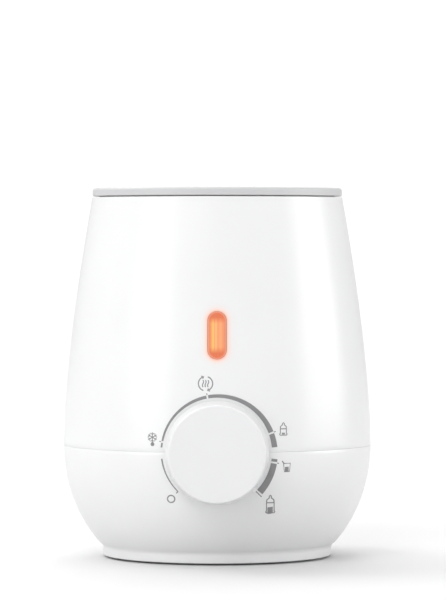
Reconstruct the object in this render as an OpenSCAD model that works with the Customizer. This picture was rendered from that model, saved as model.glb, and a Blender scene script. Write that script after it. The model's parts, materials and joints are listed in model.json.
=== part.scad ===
// Bottle warmer: a round two-part casing around a water well with a heated floor.
// The frame is in millimetres: +Z up, the table is z = 0, the well's axis is the Z axis
// and the knob faces -Y. The casing hangs on the well: its flange rests on the casing's
// ledge, and screws through the bottom cover pull the cover up against the well's legs.

/* [Casing] */
// Height from the table to the top of the rim ring
height = 150; // [140:1:185]
// Widest diameter of the casing, at the parting line
belly_d = 125; // [123:1:152]
// Diameter of the casing's top edge
shoulder_d = 101.8; // [100:0.1:112]
// Diameter of the foot
foot_d = 93; // [92:1:112]
// Height of the line where the two casing shells meet
parting_z = 45.7; // [44:0.1:56]
// Gap that shows between the two casing shells
parting_gap = 0.25; // [0.1:0.05:0.5]
// Thickness of the casing shells
wall = 2.4; // [1.8:0.1:3]
// Height of the upright band of the foot
foot_band = 2.9; // [2:0.1:4]
// Distance that the anti-slip ring lifts the casing off the table
foot_lift = 0.8; // [0.5:0.1:1.5]

/* [Rim ring] */
// Outer diameter of the rim ring
ring_d = 101.5; // [99:0.1:112]
// Thickness of the rim ring
ring_t = 3.3; // [3:0.1:5]
// Shadow gap between the rim ring and the casing
ring_gap = 0.5; // [0.2:0.1:1]

/* [Water well] */
// Inside diameter of the well
well_d = 76; // [62:1:77]
// Height of the well's floor above the table
well_floor_z = 39; // [38:0.5:46]
// Thickness of the well's wall
well_wall = 2.2; // [1.6:0.1:2.6]
// Thickness of the well's floor
well_floor_t = 2.5; // [2:0.1:3]
// Width of the floor ring around the hot plate
well_shelf = 9.5; // [8:0.1:11]

/* [Heater] */
// Thickness of the heater plate's sheet
plate_t = 1.5; // [1:0.1:2]
// Thickness of the silicone gasket under the well's floor
gasket_t = 1.5; // [1:0.1:2]
// Diameter of the sheathed heating element
element_d = 6.4; // [5:0.1:7]

/* [Knob] */
// Diameter of the knob at its base
knob_d = 40.8; // [30:0.1:49]
// Diameter of the knob's flat face
knob_face_d = 37.8; // [26:0.1:44]
// Distance that the knob's face stands out from the casing's widest line
knob_reach = 11; // [9:0.1:16]
// Thickness of the knob's walls
knob_wall = 1.8; // [1.4:0.1:2.2]
// Diameter of the dial shaft
shaft_d = 6; // [5:0.1:7.2]
// Angle of the knob's pointer at rest, clockwise from the top as seen from the front
pointer_angle = 135; // [-135:1:135]

/* [Indicator] */
// Width of the indicator window
lens_w = 7.6; // [6:0.1:10]
// Height of the indicator window
lens_h = 19; // [15:0.1:24]
// Height of the window's middle above the table
lens_z = 91.6; // [84:0.1:100]

/* [Mains inlet] */
// Bore of the gland that the mains lead goes through
gland_bore_d = 7; // [6:0.1:8]
// Height of the mains inlet above the table
gland_z = 25; // [24:0.1:28]

/* [Fits] */
// Clearance between pieces that are assembled and stay still
fit = 0.15; // [0.1:0.05:0.3]
// Radial clearance between the dial shaft and its bearings
running = 0.05; // [0.02:0.01:0.1]

/* [Hidden] */
$fn = 96;
cut = 1;                 // how far a cutter runs past what it cuts
outline_steps = 22;      // straight pieces in each curved outline

// Screws: thread radius, head radius, head height and the slack of a clearance hole
screw_r = 1.45;
screw_head_r = 2.9;
screw_head_h = 1.9;
screw_slack = 0.35;
pilot_slack = 0.05;
small_screw_r = 1.1;
small_head_r = 2.1;
small_head_h = 1.4;

// Radii of the casing
belly_r = belly_d / 2;
shoulder_r = shoulder_d / 2;
foot_r = foot_d / 2;
ring_r = ring_d / 2;
casing_top_z = height - ring_t - ring_gap;
bowl_foot_z = foot_lift + foot_band + 2.3;    // where the bowl meets the fillet above the foot
bowl_foot_r = foot_r + 1.5;
foot_edge = 0.5;                              // rounding of the foot's lower edge

// Outer line of the casing as [radius, z]: the bowl from the foot up, then the tapered upper shell
bowl_line = reversed(curve([
    [belly_r, parting_z],
    [belly_r, parting_z - 0.64 * (parting_z - bowl_foot_z)],
    [bowl_foot_r + 0.2, bowl_foot_z + 0.2],
    [bowl_foot_r, bowl_foot_z]], outline_steps));
taper_line = curve([
    [belly_r, parting_z],
    [belly_r, parting_z + 0.375 * (casing_top_z - parting_z)],
    [shoulder_r + 0.7, casing_top_z - 0.048 * (casing_top_z - parting_z)],
    [shoulder_r, casing_top_z]], outline_steps);

// Stack of the well, from the rim down
ledge_t = 2.4;
flange_t = 2.2;
seal_t = 1;
flange_z = height - ring_t - flange_t;
ledge_z = flange_z - seal_t;
well_r = well_d / 2;
well_outer_r = well_r + well_wall;
flange_r = shoulder_r - wall - 0.6;
ledge_r = well_outer_r + 1.3;
rim_screw_ring_r = (ledge_r + flange_r) / 2;

// Stack of the heater, from the well's floor down
well_opening_r = well_r - well_shelf;
well_foot_z = well_floor_z - well_floor_t;
gasket_z = well_foot_z - gasket_t;
plate_rim_z = gasket_z - plate_t;
plate_lap = 3.5;                              // how far the plate reaches under the floor
plate_r = well_opening_r + plate_lap;
plate_top_z = well_floor_z - 1.2;
rib_h = 1;                                    // ribs stay below the well's floor
clamp_t = 1.2;
clamp_z = plate_rim_z - clamp_t;
shield_t = 0.8;
shield_flange_z = clamp_z - shield_t;
shield_z = shield_flange_z - 7.5;
element_r = element_d / 2;
element_ring_r = well_opening_r - 9;
element_z = plate_top_z - plate_t - element_r;
element_gap_angle = 18;                       // half of the gap between the element's ends
pin_r = 1.2;
pin_z = shield_z - 4;

// Legs under the well, screwed to the bottom cover
leg_r = 3.5;
leg_ring_r = plate_r + 1 + leg_r;
leg_angles = [45, 135, 225, 315];
ear_angles = [0, 90, 180, 270];
ear_boss_r = 3;
well_foot_r = max(well_outer_r, leg_ring_r + leg_r) + 2.8;
well_collar = 3;                              // height of the collar around the well's foot

// Bottom cover
cover_t = 2.4;
cover_top_z = foot_lift + cover_t;
cover_r = foot_r - wall - fit;
cover_ledge = 3;
cover_ledge_t = 2.2;
cover_boss_r = 4;
leg_foot_z = cover_top_z + 4.8;
pad_w = 3;
pad_depth = 0.8;
pad_outer_r = cover_r - 0.9;

// Power board on the bottom cover
board_t = 1.6;
connector_d = 4.8;
lead_r = 1.1;
power_board_z = cover_top_z + 5.6;
power_board_w = 56;
power_board_d = 2 * (leg_ring_r * sin(45) - leg_r - 3);
power_post = [power_board_w / 2 - 3.5, power_board_d / 2 - 3.5];
power_top_z = power_board_z + board_t;

// Knob, on the parting line, and the switch behind it
knob_z = parting_z;
knob_r = knob_d / 2;
knob_face_r = knob_face_d / 2;
knob_base_y = max(outline_r(knob_z + knob_r), outline_r(knob_z - knob_r)) + 0.6;
knob_face_y = belly_r + knob_reach;
knob_depth = knob_face_y - knob_base_y;
shaft_r = shaft_d / 2;
shaft_flat = shaft_r * 0.55;
bush_r = shaft_r + 4;
bush_flange_r = bush_r + 2;
bush_flange_t = 1.6;
bush_in_y = belly_r - wall - 3.4;
bush_out_y = belly_r + 1.7;
knob_hub_r = shaft_r + 2.6;
knob_hub_y = belly_r + 2.6;

// Control board, upright between the well and the front wall
control_back_y = well_foot_r + 2.2;
control_front_y = control_back_y + board_t;
control_board_w = 44;
control_low_z = knob_z - 15;
control_high_z = lens_z + lens_h / 2 + 4.5;
control_post = [control_board_w / 2 - 4.5, [knob_z + 17, control_high_z - 4]];
switch_size = 16;
switch_depth = 7.6;
switch_collar = bush_in_y - 0.8 - (control_front_y + switch_depth);
switch_front_y = control_front_y + switch_depth;

// Indicator window
lens_flange = 1.8;
lens_flange_t = 1.2;
light_box_wall = 1.2;
chip_drop = 10.2;                               // from the light box down to the chip's middle
light_box_depth = outline_r(lens_z + lens_h / 2 + lens_flange) - wall - lens_flange_t - 0.8
    - control_front_y;

// Mains inlet at the back of the lower casing
gland_r = gland_bore_d / 2 + 2;
gland_flange_r = gland_r + 2;
pocket_r = gland_flange_r + 0.8;
pocket_wall = 2;
pocket_y = outline_r(gland_z - pocket_r - pocket_wall) - 1.2;
gland_in = 7.5;
gland_out = 4.5;
clamp_x = 8;
clamp_y = leg_ring_r - 5;
clamp_low_z = cover_top_z + 8;

// ---- curves and outlines -------------------------------------------------------

// Point at t, from 0 to 1, on the Bezier curve with four control points
function bezier(p, t) =
    pow(1 - t, 3) * p[0] + 3 * pow(1 - t, 2) * t * p[1]
    + 3 * (1 - t) * t * t * p[2] + pow(t, 3) * p[3];
function curve(p, n) = [for (i = [0 : n]) bezier(p, i / n)];

// Points on an arc about a centre, from one angle to another
function arc(centre, r, from, to, n) =
    [for (i = [0 : n]) centre + r * [cos(from + (to - from) * i / n), sin(from + (to - from) * i / n)]];

// The same points moved sideways, to the left of the way they run
function unit(v) = v / norm(v);
function along(p, i) = unit(p[min(i + 1, len(p) - 1)] - p[max(i - 1, 0)]);
function beside(p, d) = [for (i = [0 : len(p) - 1]) p[i] + d * [-along(p, i)[1], along(p, i)[0]]];
function reversed(p) = [for (i = [len(p) - 1 : -1 : 0]) p[i]];

// Radius of the casing's outer line at a height
function outline_r(z) = lookup(z, concat(
    [for (p = bowl_line) [p[1], p[0]]], [for (p = taper_line) [p[1], p[0]]]));

// Places a child whose own +Z is the way that the knob faces, with y measured out from the axis
module facing_front(y, z, x = 0) {
    translate([x, -y, z]) rotate([90, 0, 0]) children();
}
module at_angles(angles, r) {
    for (a = angles) rotate([0, 0, a]) translate([r, 0, 0]) children();
}
module tube(r_out, r_in, h) {
    difference() {
        cylinder(r = r_out, h = h);
        translate([0, 0, -cut]) cylinder(r = r_in, h = h + 2 * cut);
    }
}
// Upright block centred in x and y
module block(size) {
    translate([-size[0] / 2, -size[1] / 2, 0]) cube(size);
}
// Prism with round ends, w wide and h high in its own x and y
module slot_prism(w, h, depth) {
    for (s = [-1, 1]) translate([0, s * (h - w) / 2, 0]) cylinder(r = w / 2, h = depth);
    block_h = h - w;
    translate([-w / 2, -block_h / 2, 0]) cube([w, block_h, depth]);
}
// Screw pointing up, its head's upper face at z = 0
module screw(r, head_r, head_h, length) {
    cylinder(r = r, h = length);
    difference() {
        translate([0, 0, -head_h]) cylinder(r = head_r, h = head_h);
        for (a = [0, 90]) rotate([0, 0, a])
            translate([-head_r * 0.6, -0.35, -head_h - cut])
                cube([head_r * 1.2, 0.7, cut + head_h * 0.5]);
    }
}
// Tube swept along points in space, with its ends square to the path
function ring_frame(p, i) =
    let (t = unit(p[min(i + 1, len(p) - 1)] - p[max(i - 1, 0)]),
         side = unit(cross(abs(t[2]) < 0.9 ? [0, 0, 1] : [0, 1, 0], t)))
    [side, cross(t, side)];
module swept(p, r, sides = 10) {
    n = len(p);
    points = [for (i = [0 : n - 1]) for (k = [0 : sides - 1])
        let (f = ring_frame(p, i), a = 360 * k / sides) p[i] + r * (cos(a) * f[0] + sin(a) * f[1])];
    walls = [for (i = [0 : n - 2]) for (k = [0 : sides - 1])
        let (a = i * sides + k, b = i * sides + (k + 1) % sides)
        each [[a, a + sides, b + sides], [a, b + sides, b]]];
    first = [[for (k = [0 : sides - 1]) k]];
    last = [[for (k = [sides - 1 : -1 : 0]) (n - 1) * sides + k]];
    polyhedron(points = points, faces = concat(walls, first, last), convexity = 4);
}
// Smooth path through space with four control points
function lead_path(a, b, c, d) = curve([a, b, c, d], 18);

// ---- casing --------------------------------------------------------------------

// Solid inside of the casing's outer line, drawn in by d
module casing_solid(line, d) {
    p = beside(line, d);
    n = len(p) - 1;
    rotate_extrude()
        polygon(concat([[0, p[0][1]]], p, [[0, p[n][1]]]));
}
module casing_shell(line) {
    rotate_extrude() polygon(concat(line, reversed(beside(line, wall))));
}
// Seat of the knob's bush, half in each shell
module bush_seat() {
    facing_front(bush_in_y - cut, knob_z) cylinder(r = bush_flange_r + fit, h = bush_flange_t + cut);
    facing_front(bush_in_y, knob_z) cylinder(r = bush_r + fit, h = belly_r - bush_in_y + cut);
}
module upper_casing() color("white") difference() {
    union() {
        intersection() {
            casing_shell(taper_line);
            translate([0, 0, parting_z + parting_gap / 2])
                cylinder(r = belly_r + cut, h = casing_top_z);
        }
        // ledge that the well hangs on
        translate([0, 0, ledge_z - ledge_t]) tube(outline_r(ledge_z) - wall / 2, ledge_r, ledge_t);
        // posts for the control board
        intersection() {
            for (x = [-1, 1], z = control_post[1])
                facing_front(control_front_y, z, x * control_post[0]) cylinder(r = 3, h = belly_r);
            casing_solid(taper_line, wall / 2);
        }
    }
    bush_seat();
    facing_front(control_front_y, lens_z) slot_prism(lens_w, lens_h, belly_r);
    for (x = [-1, 1], z = control_post[1])
        facing_front(control_front_y - cut, z, x * control_post[0])
            cylinder(r = small_screw_r + pilot_slack, h = 6 + cut);
    translate([0, 0, ledge_z - ledge_t - cut])
        at_angles(ear_angles, rim_screw_ring_r) cylinder(r = screw_r + screw_slack, h = ledge_t + 2 * cut);
}

foot_fillet = arc([foot_r + 2.4, foot_lift + foot_band], 2.4, 180, 134, 6);
foot_line = concat(
    arc([foot_r - foot_edge, foot_lift + foot_edge], foot_edge, -90, 0, 4), foot_fillet, bowl_line);
tongue_t = 1.6;
module lower_casing() color("white") difference() {
    union() {
        intersection() {
            rotate_extrude() polygon(concat(foot_line, reversed(beside(bowl_line, wall)),
                [[foot_r - wall, foot_lift + foot_band], [foot_r - wall, foot_lift]]));
            cylinder(r = belly_r + cut, h = parting_z - parting_gap / 2);
        }
        // tongue inside the upper shell
        translate([0, 0, parting_z - 4]) tube(belly_r - wall - fit, belly_r - wall - fit - tongue_t, 7);
        translate([0, 0, parting_z - 4]) tube(belly_r - wall / 2, belly_r - wall - fit - tongue_t, 3);
        // ledge that the bottom cover closes against
        translate([0, 0, cover_top_z])
            tube(foot_r - wall / 2, foot_r - wall - cover_ledge, cover_ledge_t);
        // cup of the mains inlet
        intersection() {
            translate([0, pocket_y - pocket_wall, gland_z]) rotate([-90, 0, 0])
                cylinder(r = pocket_r + pocket_wall, h = belly_r);
            casing_solid(bowl_line, 0);
        }
    }
    bush_seat();
    translate([0, pocket_y, gland_z]) rotate([-90, 0, 0]) cylinder(r = pocket_r, h = belly_r);
    translate([0, pocket_y - gland_in, gland_z]) rotate([-90, 0, 0]) cylinder(r = gland_r + fit, h = belly_r);
}

// ---- rim and well --------------------------------------------------------------

ring_edge = 1.2;
module rim_ring() color([0.78, 0.79, 0.8]) difference() {
    bottom = height - ring_t;
    mouth_r = well_r + 0.4;
    rotate_extrude() polygon(concat(
        [[mouth_r, bottom], [ring_r, bottom]],
        arc([ring_r - ring_edge, height - ring_edge], ring_edge, 0, 90, 6),
        curve([[mouth_r + 3.6, height], [mouth_r + 1.6, height],
               [mouth_r, height - 0.6], [mouth_r, height - 2]], 8)));
    translate([0, 0, bottom - cut]) at_angles(ear_angles, rim_screw_ring_r)
        cylinder(r = screw_r + pilot_slack, h = ring_t - 0.9 + cut);
}
module rim_seal() color([0.86, 0.87, 0.88]) difference() {
    translate([0, 0, ledge_z]) tube(flange_r, well_outer_r + fit, seal_t);
    translate([0, 0, ledge_z - cut]) at_angles(ear_angles, rim_screw_ring_r)
        cylinder(r = screw_r + screw_slack, h = seal_t + 2 * cut);
}
module water_well() color([0.93, 0.94, 0.94]) difference() {
    union() {
        translate([0, 0, well_floor_z]) cylinder(r = well_outer_r, h = height - ring_t - well_floor_z);
        translate([0, 0, flange_z]) cylinder(r = flange_r, h = flange_t);
    }
    translate([0, 0, well_floor_z - cut]) cylinder(r = well_r, h = height);
    translate([0, 0, flange_z - cut]) at_angles(ear_angles, rim_screw_ring_r)
        cylinder(r = screw_r + screw_slack, h = flange_t + 2 * cut);
}
// Floor ring of the well, with a collar that the well is welded in, legs, and ears for the clamp ring
module well_base() color([0.9, 0.91, 0.91]) difference() {
    union() {
        translate([0, 0, well_foot_z]) cylinder(r = well_foot_r, h = well_floor_t + well_collar);
        at_angles(leg_angles, leg_ring_r)
            translate([0, 0, leg_foot_z]) cylinder(r = leg_r, h = well_foot_z - leg_foot_z + cut);
        at_angles(ear_angles, leg_ring_r)
            translate([0, 0, plate_rim_z]) cylinder(r = ear_boss_r, h = well_foot_z - plate_rim_z + cut);
    }
    translate([0, 0, well_floor_z]) cylinder(r = well_outer_r + fit, h = height);
    translate([0, 0, well_foot_z - cut]) cylinder(r = well_opening_r, h = height);
    at_angles(leg_angles, leg_ring_r)
        translate([0, 0, leg_foot_z - cut]) cylinder(r = screw_r + pilot_slack, h = 12 + cut);
    at_angles(ear_angles, leg_ring_r)
        translate([0, 0, plate_rim_z - cut]) cylinder(r = small_screw_r + pilot_slack, h = 4.4 + cut);
}

// ---- heater --------------------------------------------------------------------

module heater_plate() color([0.72, 0.73, 0.74]) {
    pan_r = well_opening_r - 0.5;
    bend = 1.2;
    rotate_extrude() polygon(concat(
        [[0, plate_top_z - plate_t], [pan_r - plate_t, plate_top_z - plate_t],
         [pan_r - plate_t, plate_rim_z], [plate_r, plate_rim_z],
         [plate_r, gasket_z], [pan_r, gasket_z]],
        arc([pan_r - bend, plate_top_z - bend], bend, 0, 90, 6),
        [[0, plate_top_z]]));
    // pressed ribs that hold a bottle off the plate
    for (a = [30, 150, 270]) rotate([0, 0, a])
        translate([pan_r * 0.3, -0.9, plate_top_z - 0.2]) cube([pan_r * 0.5, 1.8, 0.2 + rib_h]);
}
module plate_gasket() color([0.82, 0.36, 0.28])
    translate([0, 0, gasket_z]) tube(plate_r, well_opening_r + 0.1, gasket_t);

module clamp_ring() color([0.7, 0.7, 0.72]) translate([0, 0, clamp_z]) difference() {
    union() {
        tube(plate_r, plate_r - plate_lap, clamp_t);
        at_angles(ear_angles, leg_ring_r) {
            cylinder(r = ear_boss_r + 0.5, h = clamp_t);
            translate([-ear_boss_r - 3, -ear_boss_r - 0.5, 0])
                cube([ear_boss_r + 3, 2 * ear_boss_r + 1, clamp_t]);
        }
    }
    translate([0, 0, -cut]) cylinder(r = plate_r - plate_lap, h = clamp_t + 2 * cut);
    at_angles(ear_angles, leg_ring_r)
        translate([0, 0, -cut]) cylinder(r = small_screw_r + screw_slack, h = clamp_t + 2 * cut);
}
module heating_element() color([0.45, 0.44, 0.42]) {
    translate([0, 0, element_z]) rotate([0, 0, 90 + element_gap_angle])
        rotate_extrude(angle = 360 - 2 * element_gap_angle)
            translate([element_ring_r, 0]) circle(r = element_r);
    for (s = [-1, 1]) rotate([0, 0, 90 + s * (element_gap_angle + 6)])
        translate([element_ring_r, 0, pin_z]) cylinder(r = pin_r, h = element_z - pin_z);
}
sensor_r = 2.4;
thermostat_r = 6;
element_inner_r = element_ring_r - element_r;
thermostat_x = -(element_inner_r - 1.5 - thermostat_r);
sensor_x = element_inner_r - 1.5 - sensor_r;
sensor_flange_z = plate_top_z - plate_t - 6.2;
module heat_shield() color([0.8, 0.81, 0.82]) difference() {
    cup_r = plate_r - plate_lap;
    union() {
        translate([0, 0, shield_flange_z]) tube(plate_r, cup_r, shield_t);
        translate([0, 0, shield_z]) tube(cup_r + shield_t, cup_r, clamp_z - shield_z);
        translate([0, 0, shield_z]) cylinder(r = cup_r + shield_t, h = shield_t);
    }
    for (s = [-1, 1]) rotate([0, 0, 90 + s * (element_gap_angle + 6)])
        translate([element_ring_r, 0, shield_z - cut]) cylinder(r = pin_r + 1.3, h = shield_t + 2 * cut);
    translate([sensor_x, 0, shield_z - cut]) cylinder(r = 1.3, h = shield_t + 2 * cut);
}
module safety_thermostat() color([0.32, 0.24, 0.2]) translate([thermostat_x, 0, plate_top_z - plate_t - 7]) {
    translate([0, 0, 4.5]) cylinder(r = thermostat_r, h = 2.5);
    cylinder(r = thermostat_r - 1, h = 5);
    for (s = [-1, 1]) translate([-1.5, s * 3 - 0.4, -2.5]) cube([3, 0.8, 3]);
}
module temperature_sensor() color([0.75, 0.72, 0.6]) translate([sensor_x, 0, sensor_flange_z]) {
    cylinder(r = sensor_r - 0.8, h = plate_top_z - plate_t - sensor_flange_z);
    cylinder(r = sensor_r, h = 1.2);
}
// Spring that presses the sensor against the plate, standing on the shield's floor
module sensor_spring() color([0.6, 0.6, 0.62]) {
    turns = 4;
    wire_r = 0.25;
    low = shield_z + shield_t + wire_r;
    high = sensor_flange_z - wire_r;
    path = [for (i = [0 : 12 * turns]) let (a = 30 * i, t = i / (12 * turns))
        [sensor_x + (sensor_r - 0.4) * cos(a), (sensor_r - 0.4) * sin(a), low + (high - low) * t]];
    swept(path, wire_r, 6);
}
module thermal_fuse() color([0.85, 0.83, 0.78]) translate([0, -element_inner_r * 0.55, shield_z - 1.7])
    rotate([0, 90, 0]) {
        translate([0, 0, -5.5]) cylinder(r = 1.7, h = 11);
        for (s = [-1, 1]) translate([0, 0, s * 8.5 - 3.5]) cylinder(r = 0.5, h = 7);
    }

// ---- underside -----------------------------------------------------------------

module bottom_cover() color([0.9, 0.9, 0.9]) difference() {
    union() {
        translate([0, 0, foot_lift]) cylinder(r = cover_r, h = cover_t);
        at_angles(leg_angles, leg_ring_r)
            translate([0, 0, foot_lift]) cylinder(r = cover_boss_r, h = leg_foot_z - foot_lift);
        for (x = [-1, 1], y = [-1, 1]) translate([x * power_post[0], y * power_post[1], foot_lift])
            cylinder(r = 2.6, h = power_board_z - foot_lift);
        for (x = [-1, 1]) translate([x * clamp_x, clamp_y, foot_lift])
            cylinder(r = 2.8, h = clamp_low_z - foot_lift);
    }
    at_angles(leg_angles, leg_ring_r) {
        cylinder(r = screw_r + screw_slack, h = leg_foot_z + cut);
        translate([0, 0, -cut]) cylinder(r = screw_head_r + 0.4, h = foot_lift + 3 + cut);
    }
    tube(pad_outer_r + 0.1, pad_outer_r - pad_w - 0.1, foot_lift + pad_depth);
    for (x = [-1, 1], y = [-1, 1]) translate([x * power_post[0], y * power_post[1], cover_top_z])
        cylinder(r = small_screw_r + pilot_slack, h = 8);
    for (x = [-1, 1]) translate([x * clamp_x, clamp_y, cover_top_z])
        cylinder(r = small_screw_r + pilot_slack, h = 9);
    // drain slots
    for (i = [-2 : 2]) translate([i * 6, -cover_r * 0.62, 0]) slot_prism(2, 11, cover_top_z + cut);
}
module anti_slip_ring() color([0.5, 0.51, 0.53])
    tube(pad_outer_r, pad_outer_r - pad_w, foot_lift + pad_depth);

plate_size = [30, 18, 0.3];
module rating_plate() color([0.8, 0.8, 0.82])
    translate([0, cover_r * 0.25, foot_lift - plate_size[2]]) block(plate_size);

// ---- knob and dial -------------------------------------------------------------

knob_round = 1;
module knob() color("white") facing_front(knob_base_y, knob_z) difference() {
    union() {
        rotate_extrude() polygon(concat(
            [[0, 0], [knob_r, 0]],
            arc([knob_face_r + 0.35 - knob_round, knob_depth - knob_round], knob_round, 0, 90, 6),
            [[0, knob_depth]]));
        // pointer rib on the skirt
        rotate([0, 0, -pointer_angle]) translate([-0.8, knob_r - 2.4, 0])
            cube([1.6, 2.9, knob_depth * 0.55]);
    }
    difference() {
        translate([0, 0, -cut]) cylinder(r1 = knob_r - knob_wall, r2 = knob_face_r - knob_wall,
            h = knob_depth - knob_wall + cut);
        translate([0, 0, knob_hub_y - knob_base_y]) cylinder(r = knob_hub_r, h = knob_depth);
        for (a = [0 : 60 : 300]) rotate([0, 0, a]) translate([0, -0.6, knob_depth * 0.55])
            cube([knob_r, 1.2, knob_depth]);
    }
    // D-shaped bore for the shaft
    translate([0, 0, -cut]) intersection() {
        cylinder(r = shaft_r + 0.03, h = shaft_tip_y - knob_base_y + cut);
        translate([-knob_r, -knob_r, 0])
            cube([2 * knob_r, knob_r + shaft_flat + 0.45, knob_depth]);
    }
}
shaft_tip_y = knob_face_y - knob_wall - 1;
rotor_r = 6;
rotor_t = 2;
rotor_y = control_front_y + 2;
module dial_shaft() color([0.62, 0.63, 0.65]) {
    facing_front(rotor_y + rotor_t, knob_z) difference() {
        cylinder(r = shaft_r, h = shaft_tip_y - rotor_y - rotor_t - 0.3);
        translate([-knob_r, shaft_flat, knob_hub_y - rotor_y - rotor_t])
            cube([2 * knob_r, knob_r, knob_depth]);
    }
}
// Spring strip between the flat of the shaft and the knob's bore
module knob_clip() color([0.55, 0.56, 0.58])
    facing_front(knob_hub_y + 0.3, knob_z) translate([-1.6, shaft_flat + 0.04, 0])
        cube([3.2, 0.35, shaft_tip_y - knob_hub_y - 1.2]);

module switch_rotor() color([0.25, 0.25, 0.27])
    facing_front(rotor_y, knob_z) difference() {
        cylinder(r = rotor_r, h = rotor_t);
        translate([rotor_r - 1.4, 0, rotor_t - 0.6]) cylinder(r = 0.7, h = cut);
    }
module rotary_switch() color([0.2, 0.32, 0.42]) facing_front(control_front_y, knob_z) difference() {
    union() {
        block([switch_size, switch_size, switch_depth]);
        cylinder(r = shaft_r + 1.6, h = switch_depth + switch_collar);
    }
    translate([0, 0, 1]) cylinder(r = rotor_r + 0.3, h = rotor_t + 2.2);
    translate([0, 0, 1]) cylinder(r = shaft_r + running, h = switch_depth + switch_collar + cut);
}
module knob_bush() color([0.88, 0.88, 0.86]) facing_front(bush_in_y, knob_z) {
    length = bush_out_y - bush_in_y;
    difference() {
        union() {
            cylinder(r = bush_r, h = length);
            cylinder(r = bush_flange_r, h = bush_flange_t);
            translate([0, 0, length - 1]) cylinder(r = bush_r + 1, h = 1);
        }
        translate([0, 0, -cut]) cylinder(r = shaft_r + running, h = length + 2 * cut);
    }
}

// ---- indicator -----------------------------------------------------------------

module indicator_lens() color([1, 0.42, 0.1, 0.9]) {
    intersection() {
        facing_front(control_front_y, lens_z) slot_prism(lens_w - 2 * fit, lens_h - 2 * fit, belly_r);
        difference() {
            casing_solid(taper_line, 0);
            casing_solid(taper_line, wall + lens_flange_t);
        }
    }
    intersection() {
        facing_front(control_front_y, lens_z)
            slot_prism(lens_w + 2 * lens_flange, lens_h + 2 * lens_flange, belly_r);
        difference() {
            casing_solid(taper_line, wall + 0.02);
            casing_solid(taper_line, wall + lens_flange_t);
        }
    }
}
module light_box() color([0.95, 0.95, 0.95]) facing_front(control_front_y, lens_z) {
    w = lens_w + 2 * light_box_wall;
    h = lens_h + 2 * light_box_wall;
    difference() {
        block([w, h, light_box_depth]);
        translate([0, 0, -cut]) block([lens_w, lens_h, light_box_depth + 2 * cut]);
    }
}
module indicator_leds() color([1, 0.75, 0.4]) for (s = [-1, 0, 1])
    facing_front(control_front_y, lens_z + s * lens_h / 3.6) block([2.8, 3.5, 1.6]);

// ---- control board -------------------------------------------------------------

module control_board() color([0.1, 0.4, 0.2]) difference() {
    facing_front(control_back_y, (control_low_z + control_high_z) / 2)
        block([control_board_w, control_high_z - control_low_z, board_t]);
    for (x = [-1, 1], z = control_post[1]) facing_front(control_back_y - cut, z, x * control_post[0])
        cylinder(r = small_screw_r + screw_slack, h = board_t + 2 * cut);
}
module control_chip() color([0.12, 0.12, 0.13])
    facing_front(control_front_y, lens_z - lens_h / 2 - light_box_wall - chip_drop, -4) block([9, 9, 1.4]);

// ---- power board ---------------------------------------------------------------

// Two rows of parts stand between the ribbon's connector and the ends of the leads.
// Each takes its share of the depth that it and the part across from it leave free.
row_front_y = -power_board_d / 2 + 2.5 + connector_d / 2;
row_back_y = power_board_d / 2 - 1.9 - lead_r;
function row_free(a, b) = row_back_y - row_front_y - a - b;
function front_row(depth, across, share) = row_front_y + depth / 2 + share * row_free(depth, across);
function back_row(depth, across, share) = row_back_y - depth / 2 - share * row_free(depth, across);
relay_d = 12;
fuse_d = 5.2;
filter_d = 6;
choke_d = 10.4;
smoothing_d = 8;
block_d = 7.5;
filter_y = front_row(filter_d, choke_d, 0.3429);
block_y = back_row(block_d, smoothing_d, 0.2996);

module power_board() color([0.75, 0.6, 0.3]) difference() {
    translate([0, 0, power_board_z]) block([power_board_w, power_board_d, board_t]);
    for (x = [-1, 1], y = [-1, 1]) translate([x * power_post[0], y * power_post[1], power_board_z - cut])
        cylinder(r = small_screw_r + screw_slack, h = board_t + 2 * cut);
}
module relay() color([0.15, 0.35, 0.65]) 
    translate([-12, front_row(relay_d, fuse_d, 0.3262), power_top_z]) block([18, relay_d, 9]);
module filter_capacitor() color([0.85, 0.7, 0.2]) 
    translate([16, filter_y, power_top_z]) block([15, filter_d, 9]);
module smoothing_capacitor() color([0.15, 0.15, 0.18])
    translate([3.2, front_row(smoothing_d, block_d, 0.2569), power_top_z]) {
    cylinder(r = smoothing_d / 2, h = 9);
    translate([0, 0, 9]) cylinder(r = smoothing_d / 2 - 0.6, h = 0.3);
}
module mains_choke() color([0.5, 0.25, 0.1])
    translate([17.5, back_row(choke_d, filter_d, 0.3708), power_top_z]) {
    tube(choke_d / 2, 2.2, 4.5);
    cylinder(r = 2.2, h = 1);
}
module glass_fuse() color([0.8, 0.85, 0.85])
    translate([-11, back_row(fuse_d, relay_d, 0.4223), power_top_z + fuse_d / 2]) rotate([0, 90, 0]) {
    translate([0, 0, -7]) cylinder(r = 2.2, h = 14);
    for (s = [-1, 1]) translate([0, 0, s * 8 - 2]) cylinder(r = fuse_d / 2, h = 4);
}
module terminal_block() color([0.2, 0.5, 0.3]) translate([5, block_y, power_top_z]) difference() {
    block([10, block_d, 8]);
    for (x = [-2.5, 2.5]) {
        translate([x, 0, 5]) cylinder(r = 1.5, h = 4);
        translate([x, cut + block_d / 2, 2.6]) rotate([90, 0, 0]) cylinder(r = 1.4, h = 4);
    }
}

// ---- wiring --------------------------------------------------------------------

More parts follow.
